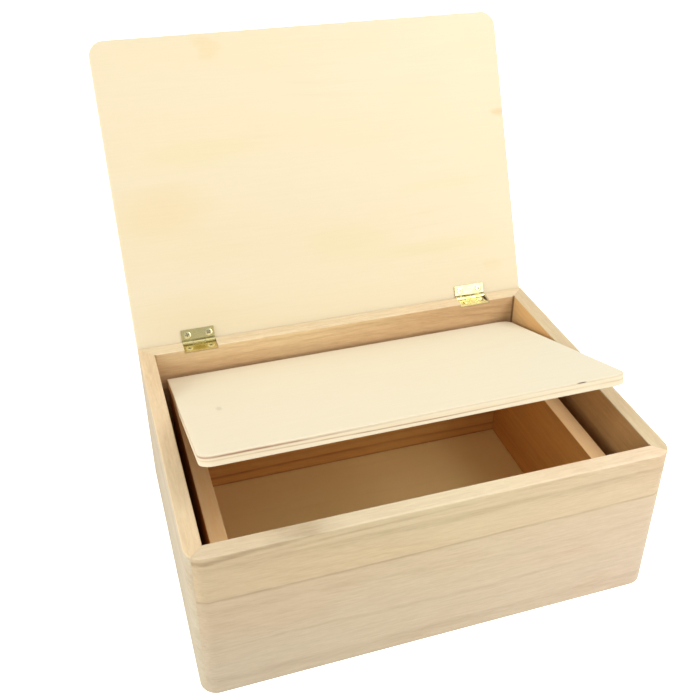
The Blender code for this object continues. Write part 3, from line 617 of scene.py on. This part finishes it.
def paint_plywood():
    lid, board = JOINTS["lid_hinge"], JOINTS["board_hinge"]
    paint(["lid_panel"], plywood(
        "ply_lid", lid["pos_m"], math.radians(lid["range_deg"][1]), LID_OVER_PIN, SHEET,
        LID_COLOURS, 1.3, figure=0.8, blots=LID_BLOTS, ply_lines_and_edge_shade=LID_PLIES, blots_above=False,
        figure_above=2.2))
    paint(["tilt_board"], plywood(
        "ply_board", board["pos_m"], math.radians(board["range_deg"][1]), BOARD_OVER_PIN,
        SHEET, BOARD_COLOURS, 2.9, figure=0.4, blots=BOARD_BLOTS, ply_lines_and_edge_shade=BOARD_PLIES_AND_EDGE_SHADE,
        crack=BOARD_CRACK, tones=BOARD_TONES, edge_tint=BOARD_EDGE_TINT))
    paint(["floor_panel"], plywood(
        "ply_floor", (0.0, 0.0, 0.0), 0.0, 0.0, FLOOR_TOP, FLOOR_COLOURS, 4.1, figure=1.2))


def paint_brass():
    leaf = brass("brass_leaf", BRASS, 0.16, 0.28, 0.0, fold_shade=1.0)
    let_in = brass("brass_box_leaf", BRASS, 0.18, 0.30, 1.0, painted_reflection=BOX_LEAF_PAINTED_REFLECTIONS,
                   painted_patches=PAINTED_LEAF_PATCHES)
    screw = brass("brass_screw", SCREW_BRASS, 0.12, 0.22, 3.0, recess_dirt_and_shade=0.9)
    for name in frame["nodes"]:
        if "hinge" in name:
            paint([name], screw if "screw" in name else let_in if "box_leaf" in name else leaf)


# ------------------------------------------------------------------ glue lines

# How far a slip stays inside the walls' faces, how thick it is, and how the walls' edges
# are eased where it ends
SKIN = 0.04 * MM
SLIP = 0.26 * MM
OUTER_EASE = 1.2 * MM
INNER_EASE = 1.0 * MM
EASE_BEND = 0.35
RABBET = 6.3 * MM * math.sqrt(2)
OVER_FLOOR = 0.4 * MM


def slip_profile(reach, ease):
    """Outline of a glue line in its own plane: distance from the inner corner, and height."""
    end = reach - SKIN
    top = BOX_HEIGHT - SKIN
    floor = FLOOR_TOP + OVER_FLOOR
    return [(RABBET, SKIN), (end - ease, SKIN),
            (end - EASE_BEND * ease, EASE_BEND * OUTER_EASE),
            (end, OUTER_EASE + SKIN), (end, top - OUTER_EASE),
            (end - EASE_BEND * ease, top - EASE_BEND * OUTER_EASE), (end - ease, top),
            (INNER_EASE, top), (SKIN, top - INNER_EASE), (SKIN, floor), (RABBET, floor)]


def add_glue_lines():
    """Thin slips that close the mitres, as the glued corners of the real box are."""
    material = solid_wood("wood_glue_line", "X", 8.0, WALL_LIGHT, WALL_DARK, figure=0.25,
                          inner_tint=SIDE_INNER_TINT)
    for number, (side_x, side_y) in enumerate(((-1, -1), (1, -1), (1, 1), (-1, 1)), 1):
        square = math.sqrt(2) if side_y > 0 else 1.0
        reach = WALL * square - (SLIP / 2 if side_y > 0 else 0.0)
        profile = slip_profile(reach, OUTER_EASE * square)
        along = Vector((side_x, side_y, 0)).normalized()
        across = Vector((-along.y, along.x, 0)) * SLIP / 2
        start = Vector((side_x * INNER_X, side_y * INNER_Y, 0))
        bm = bmesh.new()
        near, far = [[bm.verts.new(start + along * d + across * sign + Vector((0, 0, z)))
                      for d, z in profile] for sign in (-1, 1)]
        bm.faces.new(near)
        bm.faces.new(list(reversed(far)))
        for i in range(len(profile)):
            bm.faces.new((near[i], near[i - 1], far[i - 1], far[i]))
        bmesh.ops.recalc_face_normals(bm, faces=bm.faces)
        mesh = bpy.data.meshes.new("mitre_glue_line_%d" % number)
        bm.to_mesh(mesh)
        bm.free()
        mesh.materials.append(material)
        slip = bpy.data.objects.new(mesh.name, mesh)
        bpy.context.scene.collection.objects.link(slip)
        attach(slip, "box")


# ------------------------------------------------------ floor, light and camera

FLOOR_REACH = 8.0
FLOOR_DROP = 0.2 * MM
FLOOR_ROUGHNESS, FLOOR_SPECULAR = 0.9, 0.1
FLOOR_GLOW = 0.62
WORLD_COLOUR = (1.0, 0.985, 0.96, 1.0)
WORLD_STRENGTH = 0.554
BACKDROP_STRENGTH = 1.05
# Each softbox: name, place, side in metres and power in watts
SOFTBOXES = (
    ("softbox_top", (0.0, 0.0, 1.9), 1.8, 6.2),
    ("softbox_top_right", (0.8, -0.3, 1.0), 0.6, 5.9),
    ("softbox_front_high", (0.9, -1.3, 1.3), 0.8, 6.3),
    ("softbox_front_right", (0.65, -1.13, 0.5), 0.6, 2.34),
    ("softbox_front_left", (-1.1, -1.3, 0.9), 0.8, 3.4),
    ("softbox_left", (-1.8, -0.1, 0.8), 1.0, 20.3),
    ("softbox_back", (0.0, 1.8, 0.35), 0.8, 10.0))
LIGHT_TARGET = (0.0, 0.0, 0.1)


def add_floor():
    bm = bmesh.new()
    bmesh.ops.create_grid(bm, x_segments=4, y_segments=4, size=FLOOR_REACH)
    mesh = bpy.data.meshes.new("floor")
    bm.to_mesh(mesh)
    bm.free()
    tree = Tree("studio_floor")
    speck = tree.noise(tree.place, (3.0, 3.0, 3.0))
    pale = tree.ramp(speck, ((0.3, (0.93, 0.93, 0.93)), (0.7, (0.95, 0.95, 0.95))))
    tree.finish(pale, FLOOR_ROUGHNESS, FLOOR_SPECULAR)
    glow = tree.nodes.new("ShaderNodeEmission")
    path = tree.nodes.new("ShaderNodeLightPath")
    tree.feed(glow.inputs["Strength"], tree.times(path.outputs["Is Camera Ray"], FLOOR_GLOW))
    both = tree.nodes.new("ShaderNodeAddShader")
    tree.links.new(tree.shader.outputs[0], both.inputs[0])
    tree.links.new(glow.outputs[0], both.inputs[1])
    tree.links.new(both.outputs[0], tree.nodes["Material Output"].inputs["Surface"])
    mesh.materials.append(tree.material)
    floor = bpy.data.objects.new("floor", mesh)
    floor.location = (0.0, 0.0, -FLOOR_DROP)
    bpy.context.scene.collection.objects.link(floor)


def add_world():
    world = bpy.data.worlds.new("studio")
    bpy.context.scene.world = world
    world.use_nodes = True
    nodes, links = world.node_tree.nodes, world.node_tree.links
    background = nodes["Background"]
    background.inputs["Color"].default_value = WORLD_COLOUR
    background.inputs["Strength"].default_value = WORLD_STRENGTH
    backdrop = nodes.new("ShaderNodeBackground")
    backdrop.inputs["Color"].default_value = (*WHITE, 1.0)
    backdrop.inputs["Strength"].default_value = BACKDROP_STRENGTH
    path = nodes.new("ShaderNodeLightPath")
    blend = nodes.new("ShaderNodeMixShader")
    links.new(path.outputs["Is Camera Ray"], blend.inputs[0])
    links.new(background.outputs[0], blend.inputs[1])
    links.new(backdrop.outputs[0], blend.inputs[2])
    links.new(blend.outputs[0], nodes["World Output"].inputs["Surface"])


def add_lights():
    for name, place, size, power in SOFTBOXES:
        data = bpy.data.lights.new(name, "AREA")
        data.shape = "SQUARE"
        data.size = size
        data.energy = power
        light = bpy.data.objects.new(name, data)
        light.location = place
        aim = Vector(LIGHT_TARGET) - Vector(place)
        light.rotation_mode = "QUATERNION"
        light.rotation_quaternion = aim.to_track_quat("-Z", "Y")
        bpy.context.scene.collection.objects.link(light)


CAMERA_PLACE = (-0.20035, -0.54888, 0.56147)
CAMERA_HEADING, CAMERA_PITCH, CAMERA_ROLL = (math.radians(a) for a in (18.6277, 32.9044, 0.6318))
FRAME_PIXELS = 700.0
FOCAL_PIXELS = 938.47
CENTRE_PIXELS = (368.49, 339.93)
SENSOR_MM = 36.0
CAMERA_CLIP = (0.01, 50.0)


def add_camera():
    level = math.cos(CAMERA_PITCH)
    forward = Vector((level * math.sin(CAMERA_HEADING), level * math.cos(CAMERA_HEADING),
                      -math.sin(CAMERA_PITCH)))
    right = Vector((math.cos(CAMERA_HEADING), -math.sin(CAMERA_HEADING), 0.0))
    up = right.cross(forward)
    turned_right = right * math.cos(CAMERA_ROLL) + up * math.sin(CAMERA_ROLL)
    turned_up = -right * math.sin(CAMERA_ROLL) + up * math.cos(CAMERA_ROLL)
    data = bpy.data.cameras.new("camera")
    data.sensor_width = SENSOR_MM
    data.lens = FOCAL_PIXELS / FRAME_PIXELS * SENSOR_MM
    data.shift_x = 0.5 - CENTRE_PIXELS[0] / FRAME_PIXELS
    data.shift_y = CENTRE_PIXELS[1] / FRAME_PIXELS - 0.5
    data.clip_start, data.clip_end = CAMERA_CLIP
    camera = bpy.data.objects.new("camera", data)
    camera.matrix_world = Matrix.LocRotScale(
        CAMERA_PLACE, Matrix((turned_right, turned_up, -forward)).transposed(), None)
    bpy.context.scene.collection.objects.link(camera)
    bpy.context.scene.camera = camera


paint_wood()
paint_plywood()
paint_brass()
add_glue_lines()
add_floor()
add_world()
add_lights()
add_camera()
bpy.context.scene.view_settings.view_transform = "Standard"
